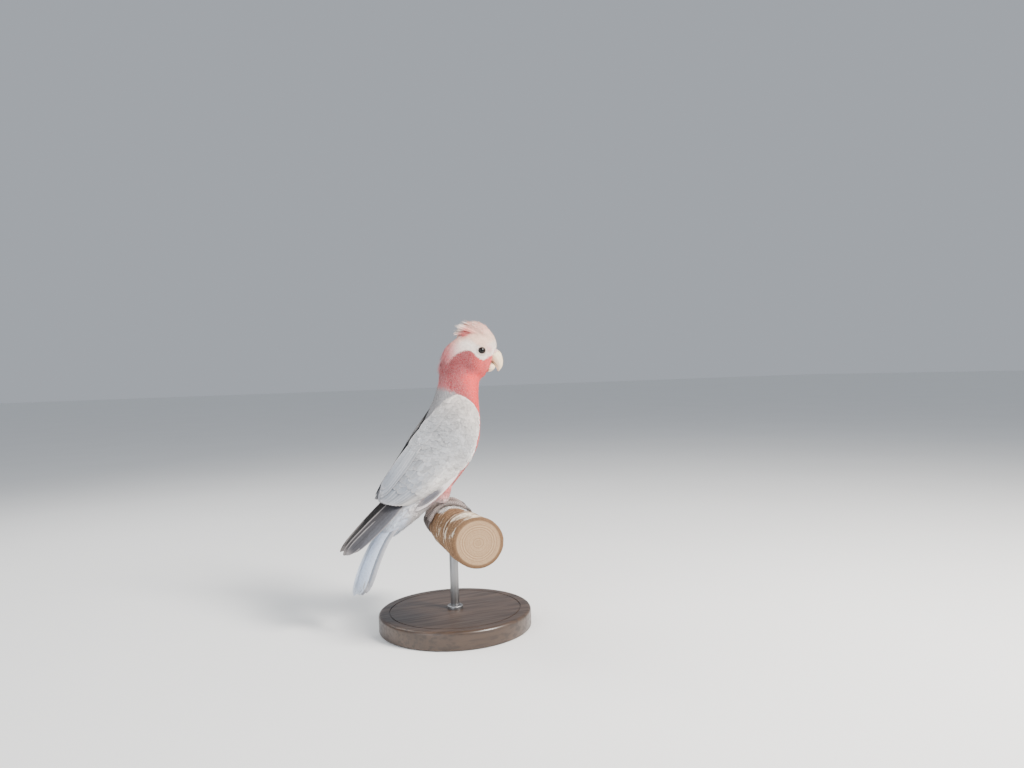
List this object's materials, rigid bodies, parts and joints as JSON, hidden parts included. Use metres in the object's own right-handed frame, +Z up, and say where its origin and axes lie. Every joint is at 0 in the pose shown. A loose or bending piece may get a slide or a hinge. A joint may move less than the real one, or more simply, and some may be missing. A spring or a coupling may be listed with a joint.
{
  "type": "galah (perched parrot, still museum model)",
  "caption": "Life-size still galah, perched upright across a cut length of branch with its head turned a little to its right, on a plain round display stand.",
  "frame": {"origin": "centre of the display base's flat underside, under the rod", "axes": "+Z up, the bird's body faces +X, its right side is -Y; the branch runs roughly along Y"},
  "size_m": [0.2123, 0.188, 0.3572],
  "materials": {
    "crown_feathers": "soft pale pink feathers",
    "rose_feathers": "soft rose-red feathers",
    "grey_feathers": "soft pale grey feathers",
    "flight_feathers": "satin dark grey feathers",
    "tail_feathers": "satin silver-grey feathers",
    "bill_horn": "satin bone-coloured horn",
    "eye_glass": "gloss",
    "foot_scales": "matt scaly skin",
    "claw_horn": "satin dark horn",
    "bark": "rough bark",
    "base_wood": "satin dark stain",
    "rod_steel": "satin"
  },
  "bodies": {
    "root": {"head": "crown_feathers", "crest": "crown_feathers", "neck": "rose_feathers", "trunk": "grey_feathers", "rump": "grey_feathers", "thigh_right": "rose_feathers", "thigh_left": "rose_feathers", "wing_right": "grey_feathers", "wing_left": "grey_feathers", "primaries_right": "flight_feathers", "primaries_left": "flight_feathers", "tail": "tail_feathers", "bill_upper": "bill_horn", "bill_lower": "bill_horn", "eye_right": "eye_glass", "eye_left": "eye_glass", "foot_right": "foot_scales", "foot_left": "foot_scales", "claw_right_1": "claw_horn", "claw_right_2": "claw_horn", "claw_right_3": "claw_horn", "claw_right_4": "claw_horn", "claw_left_1": "claw_horn", "claw_left_2": "claw_horn", "claw_left_3": "claw_horn", "claw_left_4": "claw_horn", "perch": "bark", "stand_base": "base_wood", "stand_rod": "rod_steel"}
  },
  "joints": []
}
